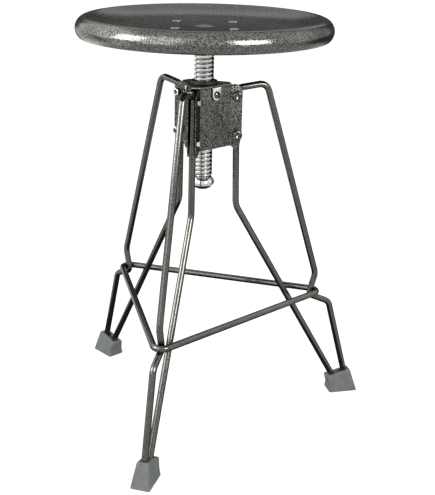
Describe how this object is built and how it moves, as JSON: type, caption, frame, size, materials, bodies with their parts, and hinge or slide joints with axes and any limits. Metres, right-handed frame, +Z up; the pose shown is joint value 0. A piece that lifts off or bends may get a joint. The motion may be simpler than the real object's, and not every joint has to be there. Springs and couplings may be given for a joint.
{
  "type": "bar stool",
  "caption": "Metal bar stool with a dished round seat on a threaded spindle, bent-rod tripod legs, a triangular foot ring and rubber feet; turning the seat sets its height.",
  "frame": {"origin": "on the floor below the middle of the stool's outline; the spindle's axis stands 40.2 mm behind it, at +Y", "axes": "+Z up along the spindle, -Y towards the leg that stands alone, +X to the right of that leg seen from the front"},
  "size_m": [0.4536, 0.4297, 0.5874],
  "materials": {
    "hammertone_enamel": "glossy hammertone enamel",
    "chromed_steel": "bright chrome plate",
    "zinc_plated_steel": "bright zinc plate",
    "blackened_steel": "blackened, oiled",
    "grey_rubber": "matte moulded"
  },
  "bodies": {
    "frame": {"spindle_nut": "blackened_steel", "top_plate": "zinc_plated_steel", "tab_screw_1": "zinc_plated_steel", "tab_screw_2": "zinc_plated_steel", "tab_screw_3": "zinc_plated_steel", "bracket_plate_1": "hammertone_enamel", "bracket_plate_2": "hammertone_enamel", "bracket_plate_3": "hammertone_enamel", "clamp_screw_lower_1": "zinc_plated_steel", "clamp_screw_lower_2": "zinc_plated_steel", "clamp_screw_lower_3": "zinc_plated_steel", "clamp_screw_upper_1": "zinc_plated_steel", "clamp_screw_upper_2": "zinc_plated_steel", "clamp_screw_upper_3": "zinc_plated_steel", "clamp_nut_lower_1": "zinc_plated_steel", "clamp_nut_lower_2": "zinc_plated_steel", "clamp_nut_lower_3": "zinc_plated_steel", "clamp_nut_upper_1": "zinc_plated_steel", "clamp_nut_upper_2": "zinc_plated_steel", "clamp_nut_upper_3": "zinc_plated_steel", "leg_1": "hammertone_enamel", "leg_2": "hammertone_enamel", "leg_3": "hammertone_enamel", "foot_ring": "hammertone_enamel", "rubber_foot_1": "grey_rubber", "rubber_foot_2": "grey_rubber", "rubber_foot_3": "grey_rubber"},
    "stop": {"stop_ball": "chromed_steel"},
    "seat": {"spindle": "chromed_steel", "seat_mount_plate": "blackened_steel", "seat_pan": "hammertone_enamel", "seat_screw_1": "zinc_plated_steel", "seat_screw_2": "zinc_plated_steel", "seat_screw_3": "zinc_plated_steel", "seat_screw_4": "zinc_plated_steel"}
  },
  "joints": [
    {"name": "seat_rise", "type": "slide", "parent": "frame", "child": "stop", "axis": [0, 0, 1], "range_m": [-0.0541, 0.0421]},
    {"name": "seat_turn", "type": "hinge", "parent": "stop", "child": "seat", "pos_m": [0, 0.04015, 0.45], "axis": [0, 0, 1], "range_deg": [-3240, 2520]}
  ],
  "couplings": [
    {"joint": "seat_rise", "follows": "seat_turn", "m_per_rad": 0.00095493}
  ]
}
